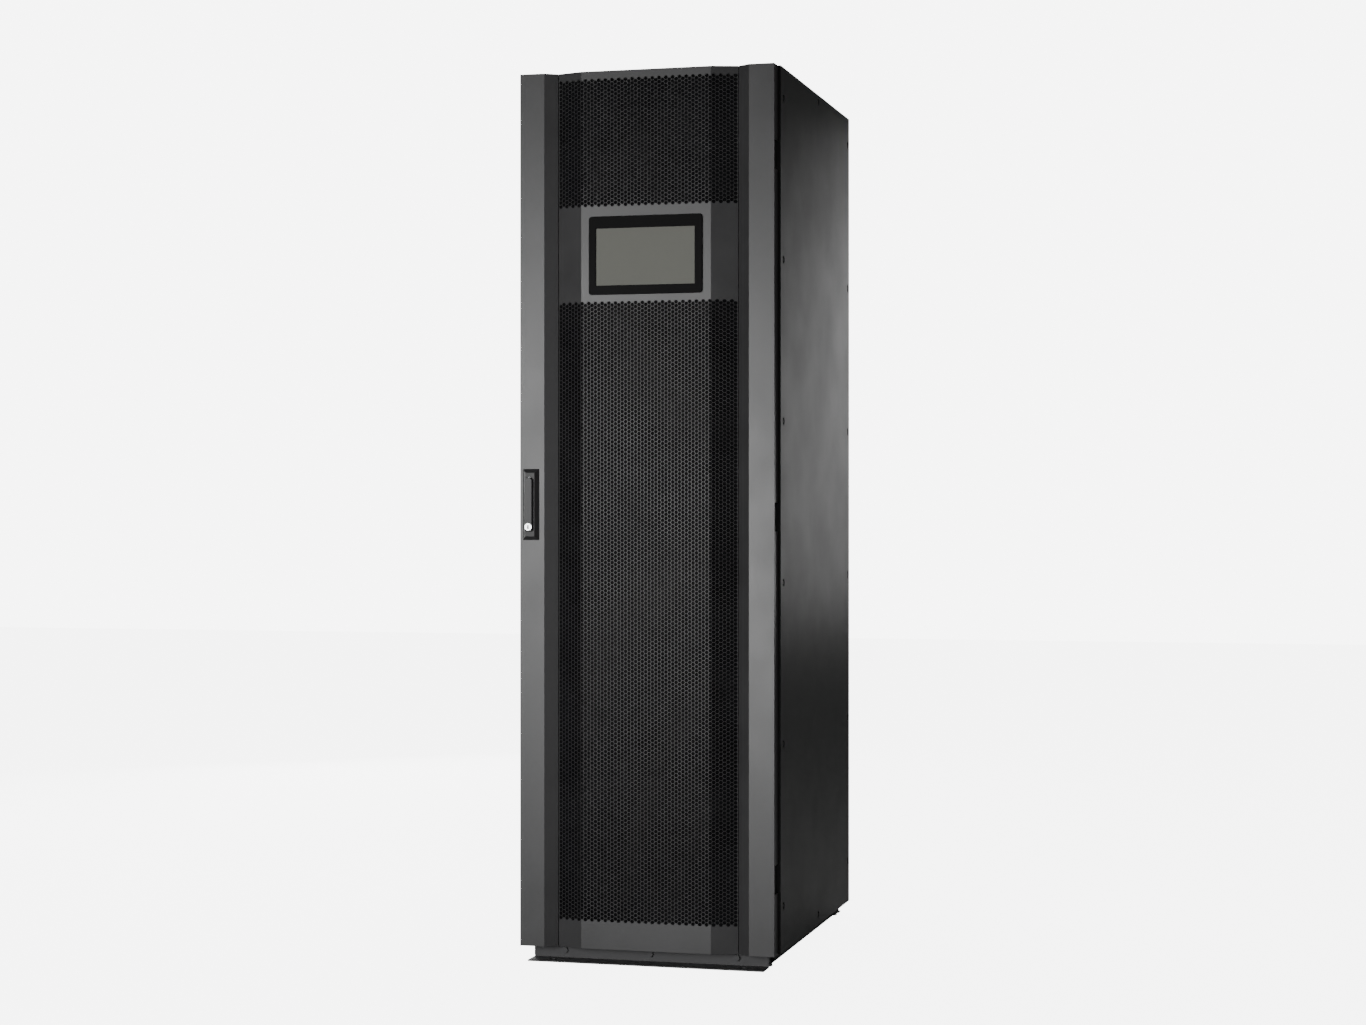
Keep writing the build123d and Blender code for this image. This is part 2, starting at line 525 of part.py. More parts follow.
def lock_rod(side, z0, z1, first, last):
    """A flat rod whose inner edge carries rack teeth from pitch number first to last."""
    x_root = HANDLE_X + side * ROD_ROOT
    x_tip = HANDLE_X + side * (PITCH_R - 0.9 * MODULE)
    bar = block(x_root, x_root + side * ROD_W, ROD_Y0, ROD_Y1, z0, z1)
    plane = Plane(origin=(0, ROD_Y0, 0), x_dir=(1, 0, 0), z_dir=(0, -1, 0))
    half = math.pi * MODULE / 4 - 0.1
    root = half + 1.25 * MODULE * math.tan(PRESSURE_ANGLE)
    tip = half - 0.9 * MODULE * math.tan(PRESSURE_ANGLE)
    for i in range(first, last + 1):
        z = SPINDLE_Z + i * math.pi * MODULE
        tooth = [(x_root, z - root), (x_tip, z - tip), (x_tip, z + tip), (x_root, z + root)]
        bar += extrude(plane * make_face(Polyline(*tooth, close=True)), ROD_Y0 - ROD_Y1)
    return bar


def rod_guide(z):
    side = -1 if z > SPINDLE_Z else 1
    x0 = HANDLE_X + side * ROD_ROOT
    x1 = x0 + side * ROD_W
    low, high = min(x0, x1), max(x0, x1)
    guide = block(low - 2, high + 1.5, DOOR_FACE + SHEET, ROD_Y1 + 3, z - 8, z + 8)
    return guide - block(low - 0.2, high + 0.2, ROD_Y0 - 0.2, ROD_Y1 + 0.2, z - 9, z + 9)


def handles():
    low, high = SPINDLE_Z - 20, SPINDLE_Z + 20
    bearing = block(HANDLE_X - 14, HANDLE_X + 14, DOOR_FACE + SHEET, ROD_Y0 - 3, low, high)
    bearing -= rod_y(SPINDLE_R + RUN, HANDLE_X, SPINDLE_Z, DOOR_FACE, ROD_Y0)
    parts = {
        "handle_escutcheon": escutcheon(),
        "handle_lever": lever(),
        "lock_cylinder": lock_cylinder(),
    }
    for name, shape in parts.items():
        node("front_" + name, shape)
        node("rear_" + name, to_rear(shape))
    node("front_handle_spindle", spindle(True))
    node("rear_handle_spindle", to_rear(spindle(False)))
    node("front_upper_lock_rod", lock_rod(-1, SPINDLE_Z - 6, ROD_ENDS[1], -1, 6))
    node("front_lower_lock_rod", lock_rod(1, ROD_ENDS[0], SPINDLE_Z + 6, -6, 1))
    node("front_lock_guides", bearing, [rod_guide(z) for z in GUIDE_ZS])


def catch_plates():
    """Plates on the frame behind the two rod ends."""
    z0, z1 = KEEPER_ZS
    face = ROD_Y1 + 0.5
    upper = block(-POST_OUT - 11, -POST_OUT, face, ROD_Y1 + 6, z0, z1)
    upper += block(-POST_OUT - 5, -POST_OUT, face, FRONT_PLANE + 30, z0, z1)
    lower = block(-258, -248, face, FRONT_PLANE, ROD_ENDS[0] - 2, ROD_ENDS[0] + 18)
    node("front_lock_rod_keepers", upper, lower)


# ---- rack interior --------------------------------------------------------------------------------
def runner(z0):
    """The angle that a module slides on, between the front and the rear rail."""
    y0, y1 = RAIL_Y_FRONT + 4, RAIL_Y_REAR - 4
    outer = POST_IN - 2
    return block(205, outer, y0, y1, z0 - 2, z0) + block(outer - 2, outer, y0, y1, z0 - 2, z0 + 20)


def rails():
    top = ROOF_LOW - TOP_BAR
    low = BASE_TOP + 2
    parts = []
    for y, leg in ((RAIL_Y_FRONT, 1), (RAIL_Y_REAR, -1)):
        flange = block(225.5, POST_IN, y, y + leg * 2, low, top)
        rail = flange + block(POST_IN - 2, POST_IN, y, y + leg * 30, low, top)
        if leg > 0:
            for z in screw_heights():
                rail -= rod_y(3.5, SCREW_X, z, y - 1, y + 4)
        parts += both(rail)
    for z0 in [module_floor(i) for i in range(MODULES)] + [control_floor()]:
        parts += both(runner(z0))
    node("rack_rails", parts)


def module_floor(i):
    return MODULE_BASE + i * MODULE_UNITS * UNIT


def control_floor():
    return module_floor(MODULES) + 6.0


def screw_heights():
    heights = []
    for i in range(MODULES):
        heights += [module_floor(i) + 30, module_floor(i) + MODULE_UNITS * UNIT - 34]
    height = CONTROL_UNITS * UNIT
    return heights + [control_floor() + 30, control_floor() + height - 34]


def case(z0, height, depth):
    """An open-fronted sheet-steel tray with its lid, behind a front panel."""
    y = RAIL_Y_FRONT
    half = CASE_HALF - SHEET
    shell = block(-CASE_HALF, CASE_HALF, y, y + depth, z0, z0 + height)
    return shell - block(-half, half, y - 1, y + depth - SHEET, z0 + SHEET, z0 + height - SHEET)


def front_panel(z0, height):
    y = RAIL_Y_FRONT
    plate = block(-EAR_HALF, EAR_HALF, y - PANEL_T, y, z0, z0 + height)
    for z in screw_heights():
        for x in (-SCREW_X, SCREW_X):
            if z0 < z < z0 + height:
                plate -= rod_y(3.5, x, z, y - 5, y + 1)
    return plate


def plug(x, z, up):
    """A round quick-connect plug with its cable gland pointing up or down."""
    y = RAIL_Y_FRONT - PANEL_T
    return rod_y(PLUG_R, x, z, y - PLUG_LEN, y) + rod_z(GLAND_R, x, CABLE_Y, z, z + up * GLAND_LEN)


def cable(points, radii):
    """A round cable along straight runs joined by tangent arcs."""
    path = FilletPolyline(*points, radius=radii)
    start = Plane(origin=path @ 0, z_dir=path % 0)
    return sweep(start * Circle(CABLE_R), path=path)


def corner_radii(points):
    """The largest arc that each corner's two runs allow."""
    radii = []
    for a, b, c in zip(points, points[1:], points[2:]):
        one, two = Vector(*b) - Vector(*a), Vector(*c) - Vector(*b)
        turn = math.radians(one.get_angle(two))
        radii.append(0.45 * min(one.length, two.length) / math.tan(turn / 2))
    return radii


def grip(x, middle):
    """A pull handle: two stems and a bar across their ends."""
    y = RAIL_Y_FRONT - PANEL_T
    end = y - GRIP_REACH
    sides = (x - GRIP_HALF, x + GRIP_HALF)
    stems = [block(*sides, end + GRIP_T, y, z - 6, z + 6) for z in (middle - 48, middle + 48)]
    bar = block(*sides, end, end + GRIP_T, middle - 54, middle + 54)
    return stems + [chamfer(bar.edges().filter_by(Axis.Z), 2.0)]


def modules():
    panels = []
    packs = []
    grips = []
    sockets = []
    y = RAIL_Y_FRONT - PANEL_T
    height = MODULE_UNITS * UNIT
    for i in range(MODULES):
        z0 = module_floor(i)
        node(f"battery_module_{i + 1}_case", case(z0, height - 4, CASE_DEPTH))
        panels.append(front_panel(z0 - 1, height - 1))
        for row in (RAIL_Y_FRONT + 70, RAIL_Y_FRONT + 235):
            for cell in range(CELLS_ACROSS):
                x0 = CELL_PITCH * (cell - CELLS_ACROSS / 2) + CELL_GAP
                x1 = x0 + CELL_PITCH - 2 * CELL_GAP
                packs.append(block(x0, x1, row, row + 160, z0 + SHEET, z0 + 120))
        for x in (-GRIP_X, GRIP_X):
            grips += grip(x, z0 + height / 2)
        sockets.append(block(-40, 10, y - 3, y, z0 + 104, z0 + 130))
    screws = []
    for z in screw_heights():
        screw = rod_y(6.0, SCREW_X, z, y - 3.5, y) + rod_y(3.0, SCREW_X, z, y, RAIL_Y_FRONT + 8)
        screws += both(screw)
    node("module_front_panels", panels)
    node("battery_cells", packs)
    node("module_handles", grips)
    node("module_screws", screws)
    node("module_data_sockets", sockets)


def wiring():
    """Plugs on every module, and cables that put the modules in series with the control unit."""
    positive = []
    negative = []
    cables = []
    for i in range(MODULES):
        z = module_floor(i) + TERMINAL_RISE
        positive.append(plug(POSITIVE_X, z, -1))
        negative.append(plug(NEGATIVE_X, z, 1))
        if i + 1 < MODULES:
            up = z + MODULE_UNITS * UNIT
            route = [
                (NEGATIVE_X, CABLE_Y, z + GLAND_LEN),
                (NEGATIVE_X, CABLE_Y, z + 62),
                (POSITIVE_X, CABLE_Y, up - 62),
                (POSITIVE_X, CABLE_Y, up - GLAND_LEN),
            ]
            cables.append(cable(route, corner_radii(route)))
    top = control_floor() + 55
    positive.append(plug(CONTROL_PLUG_X, top, -1))
    negative.append(plug(NEGATIVE_X, top, -1))
    last = module_floor(MODULES - 1) + TERMINAL_RISE
    cables.append(rod_z(CABLE_R, NEGATIVE_X, CABLE_Y, last + GLAND_LEN, top - GLAND_LEN))
    z = module_floor(0)
    route = [
        (POSITIVE_X, CABLE_Y, z + TERMINAL_RISE - GLAND_LEN),
        (POSITIVE_X, CABLE_Y, z + 58),
        (POSITIVE_X + 42, CABLE_Y, z + 10),
        (CONTROL_PLUG_X - 30, CABLE_Y, z + 10),
        (CONTROL_PLUG_X, CABLE_Y, z + 48),
        (CONTROL_PLUG_X, CABLE_Y, top - GLAND_LEN),
    ]
    cables.append(cable(route, corner_radii(route)))
    node("positive_plugs", positive)
    node("negative_plugs", negative)
    node("link_cables", cables)


def control_unit():
    z0 = control_floor()
    height = CONTROL_UNITS * UNIT
    middle = z0 + height / 2 + 10
    low, high = middle - BREAKER_HALF_H, middle + BREAKER_HALF_H
    y = RAIL_Y_FRONT - PANEL_T
    node("control_unit_case", case(z0, height - 4, 430))
    panel = front_panel(z0 - 1, height - 1)
    panel -= block(BREAKER_X0, BREAKER_X1, y - 1, y + 5, low, high)
    panel -= rod_y(BUTTON_BODY_R, BUTTON_X, middle, y - 1, y + 5)
    node("control_unit_panel", panel)

    x = (BREAKER_X0 + BREAKER_X1) / 2
    pivot_y = y - 4.0
    body = block(BREAKER_X0, BREAKER_X1, y - 12, y + 60, low, high)
    body -= block(x - 8, x + 8, y - 13, y + 8, middle - 30, middle + 30)
    body -= rod_x(TOGGLE_PIN_R + RUN, pivot_y, middle, x - 13, x + 13)
    node("main_breaker_body", body)
    toggle = rod_x(TOGGLE_HUB_R, pivot_y, middle, x - 7.5, x + 7.5)
    toggle += rod_x(TOGGLE_PIN_R, pivot_y, middle, x - 12.5, x + 12.5)
    turn = Pos(x, pivot_y, middle) * Rot(-TOGGLE_HALF, 0, 0) * Pos(0, -TOGGLE_ARM / 2, 0)
    node("main_breaker_toggle", toggle + turn * Box(12, TOGGLE_ARM, 8))

    ring = rod_y(BUTTON_RING_R, BUTTON_X, middle, y - 5, y)
    ring += rod_y(BUTTON_BODY_R, BUTTON_X, middle, y, y + 26)
    ring -= rod_y(BUTTON_R + RUN, BUTTON_X, middle, y - 6, y + 20)
    node("start_button_ring", ring)
    node("start_button", rod_y(BUTTON_R, BUTTON_X, middle, y - 9, y + 12))


base()
frame()
side_panels()
hinges()
front_door()
display()
rear_door()
handles()
catch_plates()
rails()
modules()
wiring()
control_unit()

os.makedirs("parts", exist_ok=True)
for name, solids in NODES.items():
    export_step(Compound(children=solids), f"parts/{name}.step")
print(len(NODES), "nodes")
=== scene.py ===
# %% [markdown]
# # A battery cabinet, finished in Blender
#
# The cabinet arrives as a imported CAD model. Every part already has its place and size, in metres, with
# the front door facing -Y and the floor at Z = 0. This script gives the parts their finish. Where the
# CAD part is only a plain stand-in, such as the perforated door sheet, it models the real surface.

# %% Load the frame
import json
import math

import bmesh
import bpy
from mathutils import Matrix, Vector

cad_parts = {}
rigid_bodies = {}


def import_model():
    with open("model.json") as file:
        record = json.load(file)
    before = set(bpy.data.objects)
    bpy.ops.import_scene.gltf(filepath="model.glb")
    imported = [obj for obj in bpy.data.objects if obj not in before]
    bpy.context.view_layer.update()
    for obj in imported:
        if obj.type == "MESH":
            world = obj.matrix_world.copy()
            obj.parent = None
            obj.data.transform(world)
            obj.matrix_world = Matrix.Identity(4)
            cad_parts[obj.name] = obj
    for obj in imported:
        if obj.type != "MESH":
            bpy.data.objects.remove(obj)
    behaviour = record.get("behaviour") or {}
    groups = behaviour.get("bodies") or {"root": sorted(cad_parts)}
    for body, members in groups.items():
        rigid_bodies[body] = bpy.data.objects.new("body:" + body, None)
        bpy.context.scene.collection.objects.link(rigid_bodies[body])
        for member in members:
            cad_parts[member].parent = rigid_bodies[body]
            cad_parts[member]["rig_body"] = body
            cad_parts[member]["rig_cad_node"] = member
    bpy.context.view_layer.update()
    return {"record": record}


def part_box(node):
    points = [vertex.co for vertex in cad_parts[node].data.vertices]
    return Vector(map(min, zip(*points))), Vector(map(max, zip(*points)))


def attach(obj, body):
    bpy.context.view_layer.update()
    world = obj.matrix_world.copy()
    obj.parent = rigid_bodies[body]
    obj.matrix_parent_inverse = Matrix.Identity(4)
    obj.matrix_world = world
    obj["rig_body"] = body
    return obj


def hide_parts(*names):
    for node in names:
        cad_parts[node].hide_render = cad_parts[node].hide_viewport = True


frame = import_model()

NODES = {o["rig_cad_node"]: o for o in bpy.data.objects if "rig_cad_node" in o}
MM = 0.001

# %% [markdown]
# ## The camera
#
# The camera stands at chest height in front of the cabinet, a little to its right, and looks level, so
# that all upright edges stay upright. A long lens from almost six metres keeps the perspective calm.
# The camera could be aimed with a constraint, but a plain rotation is easier to check.

# %% Camera
YAW = math.radians(14.822)
camera = bpy.data.objects.new("camera", bpy.data.cameras.new("camera"))
camera.data.sensor_width = 36.0
camera.data.lens = 65.93
camera.data.clip_end = 100.0
camera.location = (1.507, -5.793, 1.010)
camera.rotation_euler = (math.pi / 2, 0.0, YAW)
bpy.context.scene.collection.objects.link(camera)
bpy.context.scene.camera = camera
print("camera at", tuple(round(v, 3) for v in camera.location))

# %% [markdown]
# ## The studio
#
# A satin black cabinet shows its form by what it reflects. A large soft light stands in front at the
# left, at mid height, so the flat stiles are brightest in the middle and fall off up and down. A tall
# light behind at the right gives the side panel its slanting sheen. Weaker lights at the left and the
# rear keep those sides readable when the camera walks round. The floor is plain and pale.


# %% Floor, world and lights
def area_light(name, place, target, width, height, watts, roll=0.0):
    """A soft rectangular light that faces its target, leaned over by roll degrees."""
    data = bpy.data.lights.new(name, "AREA")
    data.shape = "RECTANGLE"
    data.size, data.size_y = width, height
    data.energy = watts
    light = bpy.data.objects.new(name, data)
    light.location = place
    aim = (Vector(target) - Vector(place)).to_track_quat("-Z", "Y").to_matrix()
    light.rotation_euler = (aim @ Matrix.Rotation(math.radians(roll), 3, "Z")).to_euler()
    light.visible_camera = False
    bpy.context.scene.collection.objects.link(light)
    return light


def studio_world(seen, lit):
    """A plain world: one brightness that the camera sees, and another that lights the object."""
    world = bpy.data.worlds.new("studio")
    world.use_nodes = True
    tree = world.node_tree
    path = tree.nodes.new("ShaderNodeLightPath").outputs["Is Camera Ray"]
    mix = tree.nodes.new("ShaderNodeMapRange")
    mix.inputs["To Min"].default_value = lit
    mix.inputs["To Max"].default_value = seen
    tree.links.new(path, mix.inputs["Value"])
    tree.links.new(mix.outputs["Result"], tree.nodes["Background"].inputs["Strength"])
    tree.nodes["Background"].inputs["Color"].default_value = (1.0, 1.0, 1.0, 1.0)
    bpy.context.scene.world = world


def pale_floor(name, shade, glow):
    """A matt floor that the camera sees as nearly white, with a soft shadow still on it."""
    material = bpy.data.materials.new(name)
    material.use_nodes = True
    tree = material.node_tree
    shader = tree.nodes["Principled BSDF"]
    shader.inputs["Base Color"].default_value = (shade, shade, shade, 1.0)
    shader.inputs["Roughness"].default_value = 0.8
    shader.inputs["Emission Color"].default_value = (1.0, 1.0, 1.0, 1.0)
    path = tree.nodes.new("ShaderNodeLightPath").outputs["Is Camera Ray"]
    gain = tree.nodes.new("ShaderNodeMath")
    gain.operation = "MULTIPLY"
    gain.inputs[1].default_value = glow
    tree.links.new(path, gain.inputs[0])
    tree.links.new(gain.outputs["Value"], shader.inputs["Emission Strength"])
    return material


bm = bmesh.new()
bmesh.ops.create_grid(bm, x_segments=1, y_segments=1, size=14.0)
floor_mesh = bpy.data.meshes.new("floor")
bm.to_mesh(floor_mesh)
bm.free()
floor = bpy.data.objects.new("floor", floor_mesh)
floor.location.z = -0.0005
floor_mesh.materials.append(pale_floor("studio_floor", 0.5, 6.2))
bpy.context.scene.collection.objects.link(floor)

studio_world(7.0, 0.07)
area_light("front_soft", (-1.05, -4.4, 1.05), (-0.05, -0.42, 1.0), 0.62, 2.0, 138.0, roll=46.0)
area_light("rear_sheen", (0.58, 1.45, 1.42), (0.3, 0.0, 1.3), 0.2, 1.5, 3.4, roll=-20.0)
area_light("front_fill", (3.2, -3.6, 1.2), (0.0, -0.4, 1.0), 1.0, 2.2, 15.0)
area_light("left_fill", (-4.0, 1.2, 1.7), (-0.3, 0.1, 1.1), 0.6, 2.0, 60.0)
area_light("rear_fill", (-2.4, 3.6, 1.5), (0.0, 0.4, 1.0), 1.6, 2.4, 70.0)
area_light("top_soft", (0.0, 0.4, 4.5), (0.0, 0.0, 1.5), 3.0, 3.0, 45.0)

# %% [markdown]
# ## Powder coat
#
# Sheet steel in such a cabinet is powder coated. Close up the coat has a fine orange peel, and the
# satin gloss changes a little from place to place. Noise on Object coordinates does both: a fine one
# drives the bump, and a broad one the roughness and a slight change of shade.


# %% Coated and moulded finishes
def finish(
    name, color, roughness, peel=0.0006, depth=0.04, shade=0.12, spread=0.06, metallic=0.0, gloss=0.5
):
    """A painted, moulded or plated finish with its own fine texture."""
    material = bpy.data.materials.new(name)
    material.use_nodes = True
    tree = material.node_tree
    shader = tree.nodes["Principled BSDF"]
    shader.inputs["Metallic"].default_value = metallic
    shader.inputs["Specular IOR Level"].default_value = gloss
    place = tree.nodes.new("ShaderNodeTexCoord").outputs["Object"]

    broad = tree.nodes.new("ShaderNodeTexNoise")
    broad.inputs["Scale"].default_value = 9.0
    broad.inputs["Detail"].default_value = 5.0
    tree.links.new(place, broad.inputs["Vector"])

    ramp = tree.nodes.new("ShaderNodeValToRGB")
    ramp.color_ramp.elements[0].position = 0.3
    ramp.color_ramp.elements[1].position = 0.7
    ramp.color_ramp.elements[0].color = (*[c * (1.0 - shade) for c in color], 1.0)
    ramp.color_ramp.elements[1].color = (*[c * (1.0 + shade) for c in color], 1.0)
    tree.links.new(broad.outputs["Fac"], ramp.inputs["Fac"])
    tree.links.new(ramp.outputs["Color"], shader.inputs["Base Color"])

    rough = tree.nodes.new("ShaderNodeMapRange")
    rough.inputs["To Min"].default_value = roughness - spread
    rough.inputs["To Max"].default_value = roughness + spread
    tree.links.new(broad.outputs["Fac"], rough.inputs["Value"])
    tree.links.new(rough.outputs["Result"], shader.inputs["Roughness"])

    fine = tree.nodes.new("ShaderNodeTexNoise")
    fine.inputs["Scale"].default_value = 1.0 / peel
    fine.inputs["Detail"].default_value = 2.0
    tree.links.new(place, fine.inputs["Vector"])
    bump = tree.nodes.new("ShaderNodeBump")
    bump.inputs["Strength"].default_value = depth
    bump.inputs["Distance"].default_value = peel * 0.25
    tree.links.new(fine.outputs["Fac"], bump.inputs["Height"])
    tree.links.new(bump.outputs["Normal"], shader.inputs["Normal"])
    return material


DOOR_COAT = finish("door_coat", (0.03, 0.03, 0.031), 0.4, peel=0.0011, depth=0.12)
# The webs of the front door's holed fields get a darker, duller copy of the door coat: painted shade for
# the dark look of the perforation.
MESH_SHADE_COAT = finish("door_mesh_coat", (0.006, 0.006, 0.007), 0.5, peel=0.0011, depth=0.12, gloss=0.05)
PANEL_COAT = finish("panel_coat", (0.012, 0.012, 0.013), 0.46, peel=0.0011, depth=0.12)
FRAME_COAT = finish("frame_coat", (0.022, 0.022, 0.024), 0.5, peel=0.0009, depth=0.15)
MODULE_COAT = finish("module_coat", (0.06, 0.062, 0.067), 0.5, peel=0.0007, depth=0.3)
PLATE_CAST = finish("die_cast_plate", (0.026, 0.026, 0.027), 0.42, peel=0.0007, depth=0.1, gloss=0.24)
LEVER_CAST = finish("die_cast_lever", (0.03, 0.03, 0.031), 0.42, peel=0.0007, depth=0.1, gloss=0.28)
ZINC = finish("zinc_plate", (0.56, 0.57, 0.58), 0.34, peel=0.0008, depth=0.1, metallic=1.0, spread=0.1)
CHROME = finish("lock_chrome", (0.5, 0.5, 0.51), 0.3, peel=0.002, depth=0.02, metallic=1.0, spread=0.03)
GRIP_METAL = finish("grip_aluminium", (0.62, 0.63, 0.65), 0.3, peel=0.0005, depth=0.1, metallic=1.0)
CELL_METAL = finish("cell_aluminium", (0.55, 0.56, 0.58), 0.4, metallic=1.0)
RUBBER = finish("seal_rubber", (0.018, 0.018, 0.018), 0.75, peel=0.0008, depth=0.3)
BLACK_PLASTIC = finish("black_plastic", (0.016, 0.016, 0.017), 0.5, peel=0.0005, depth=0.2)
ORANGE_PLASTIC = finish("orange_plastic", (0.78, 0.2, 0.02), 0.42, peel=0.0006, depth=0.15, shade=0.05)
GREEN_BUTTON = finish("button_green", (0.02, 0.32, 0.08), 0.3, peel=0.001, depth=0.05, shade=0.05)
BEZEL_GLOSS = finish("bezel_black", (0.002, 0.002, 0.0022), 0.45, peel=0.0008, depth=0.05, gloss=0.05)
# The filter mat behind the door sheet is nearly black: painted shade that the holes show in place of the
# dim inside.
FILTER_SHADE_COAT = finish("filter_fabric", (0.006, 0.006, 0.0065), 0.9, peel=0.0012, depth=0.5, shade=0.3, gloss=0.0)
print("finishes", len(bpy.data.materials))

# %% [markdown]
# ## The display's glass
#
# The touch screen is switched off: a grey, anti-glare glass. A transparent glass would need a dark panel
# behind it. An opaque, rough finish with a weak gloss looks the same when the screen is off, and a very
# fine grain keeps it from looking like flat paint.

# %% Screen glass
SCREEN_GREY = (0.13, 0.132, 0.116)
SCREEN_GLASS = finish("screen_glass", SCREEN_GREY, 0.6, peel=0.0004, depth=0.03, shade=0.03, gloss=0.2)
print("screen", SCREEN_GLASS.name)

# %% [markdown]
# ## Rounded folds
#
# Folded sheet and castings never have knife edges, and the thin light line along each fold tells the
# eye that the part is real. The CAD parts have sharp corners, so a copy of each visible one is welded,
# cleaned of its loose triangles and given a Bevel modifier that rounds only edges with a real turn.


# %% Helper: a CAD part with rounded edges
def new_piece(name, mesh, body, material, slot, *nodes):
    """Link a finished mesh as a piece that rides on a body and stands for the named CAD parts."""
    piece = bpy.data.objects.new(name, mesh)
    bpy.context.scene.collection.objects.link(piece)
    mesh.materials.clear()
    mesh.materials.append(material)
    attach(piece, body)
    if nodes:
        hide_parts(*nodes)
    return piece


def slot_of(node):
    return next(s["material_slot"] for s in frame["record"]["subparts"] if s["node"] == node)


def welded(node):
    """The part's shape with its triangles joined back into whole faces."""
    bm = bmesh.new()
    bm.from_mesh(NODES[node].data)
    bmesh.ops.remove_doubles(bm, verts=bm.verts, dist=0.01 * MM)
    bmesh.ops.dissolve_limit(bm, angle_limit=math.radians(0.5), verts=bm.verts, edges=bm.edges)
    return bm


def rounded(node, material, width, segments=2, turn=28.0, shape=None):
    """A copy of a CAD part, or a worked shape that stands for it, with its sharp edges rounded."""
    bm = shape or welded(node)
    mesh = bpy.data.meshes.new(node + "_finished")
    bm.to_mesh(mesh)
    bm.free()
    mesh.shade_smooth()
    piece = new_piece(mesh.name, mesh, NODES[node]["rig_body"], material, slot_of(node), node)
    bevel = piece.modifiers.new("rounded_edges", "BEVEL")
    bevel.width = width
    bevel.segments = segments
    bevel.limit_method = "ANGLE"
    bevel.angle_limit = math.radians(turn)
    bevel.use_clamp_overlap = True
    flat = piece.modifiers.new("flat_faces", "WEIGHTED_NORMAL")
    flat.weight = 90
    return piece


def coat(material, *nodes):
    """Give CAD parts that keep their own mesh a finish."""
    for node in nodes:
        mesh = NODES[node].data
        mesh.materials.clear()
        mesh.materials.append(material)


# %% [markdown]
# ## Door frame, side panels and roof
#
# These are the large folded sheets that are seen first. Their folds are tight, about one millimetre, so
# they get a small bevel with two segments.

# %% Large sheets
rounded("front_door_frame", DOOR_COAT, 0.7 * MM, turn=25.0)
rounded("side_panel_left", PANEL_COAT, 0.6 * MM)
rounded("side_panel_right", PANEL_COAT, 0.6 * MM)
rounded("roof_panel", PANEL_COAT, 0.6 * MM)
rounded("base_frame", FRAME_COAT, 1.0 * MM)
rounded("anchor_angles", FRAME_COAT, 1.2 * MM)

# %% [markdown]
# ## The perforated door sheet
#
# The middle of the door is one sheet, bent in three facets, with two fields of six-sided holes for the
# cooling air. Cutting ten thousand holes with Booleans would be slow and leave bad faces. Instead the
# sheet is built from six-sided tiles that fit together like a honeycomb: a tile with a hole in the
# fields, a whole tile in the bands. Arrays repeat one tile, the tiles are welded, and bisect_plane trims
# the sheet to its edges. The scalloped border of the fields then comes by itself.

# %% Honeycomb tiles
PITCH = 9.0 * MM
HOLE = 8.0 / 9.0
FIELD_BASE = 97.0 * MM


def tile(holed, pitch=PITCH, hole=HOLE):
    """One six-sided tile in the XZ plane that faces -Y, with flat top and bottom."""
    bm = bmesh.new()
    bmesh.ops.create_circle(bm, cap_ends=True, segments=6, radius=pitch / math.sqrt(3.0))
    bmesh.ops.rotate(bm, verts=bm.verts, cent=(0, 0, 0), matrix=Matrix.Rotation(math.pi / 2, 3, "X"))
    corner = max(bm.verts, key=lambda v: abs(v.co.x)).co
    bmesh.ops.rotate(
        bm, verts=bm.verts, cent=(0, 0, 0), matrix=Matrix.Rotation(math.atan2(corner.z, corner.x), 3, "Y")
    )
    if holed:
        bmesh.ops.inset_individual(bm, faces=bm.faces[:], thickness=pitch * (1 - hole) / 2)
        middle = [f for f in bm.faces if len(f.verts) == 6]
        bmesh.ops.delete(bm, geom=middle, context="FACES_ONLY")
        for face in bm.faces:
            face.material_index = 1
    for face in bm.faces:
        if face.normal.y > 0:
            face.normal_flip()
    mesh = bpy.data.meshes.new("tile")
    bm.to_mesh(mesh)
    bm.free()
    return mesh


def repeated(bm, mesh, x, z, step_x, count_x, step_z, count_z):
    """Add a block of tiles to bm, made by two Array modifiers."""
    if count_x < 1 or count_z < 1:
        return
    ob = bpy.data.objects.new("tiles", mesh)
    bpy.context.scene.collection.objects.link(ob)
    for count, offset in ((count_x, (step_x, 0, 0)), (count_z, (0, 0, step_z))):
        array = ob.modifiers.new("array", "ARRAY")
        array.use_relative_offset = False
        array.use_constant_offset = True
        array.constant_offset_displace = offset
        array.count = count
    evaluated = ob.evaluated_get(bpy.context.evaluated_depsgraph_get())
    block = bpy.data.meshes.new_from_object(evaluated)
    block.transform(Matrix.Translation((x, 0, z)))
    bm.from_mesh(block)
    bpy.data.objects.remove(ob)
    bpy.data.meshes.remove(block)


def honeycomb(half_columns, bands, pitch=PITCH, base=FIELD_BASE, hole=HOLE):
    """A flat sheet of tiles. bands lists (first half row, last half row, has holes)."""
    column = pitch * math.sqrt(3.0) / 2.0
    plain, holed = tile(False, pitch, hole), tile(True, pitch, hole)
    bm = bmesh.new()
    for low, high, has_holes in bands:
        for parity in (0, 1):
            start = low + (low + parity) % 2
            rows = (high - start) // 2 + 1
            across = half_columns - (half_columns + parity) % 2
            repeated(
                bm, holed if has_holes else plain, -across * column, base + start * pitch / 2,
                2 * column, across + 1, pitch, rows,
            )
    outer = half_columns + 1
    low, high = bands[0][0], bands[-1][1]
    start = low + (low + outer) % 2
    rows = (high - start) // 2 + 1
    repeated(bm, plain, -outer * column, base + start * pitch / 2, 2 * outer * column, 2, pitch, rows)
    bmesh.ops.remove_doubles(bm, verts=bm.verts, dist=pitch * 0.01)
    return bm


def trimmed(bm, point, normal, clear=True):
    """Cut bm by a plane; with clear, drop what lies on the normal's side."""
    bmesh.ops.bisect_plane(
        bm, geom=bm.verts[:] + bm.edges[:] + bm.faces[:], dist=1e-6, plane_co=point, plane_no=normal,
        clear_outer=clear,
    )


print("tile triangles", len(tile(True).polygons))

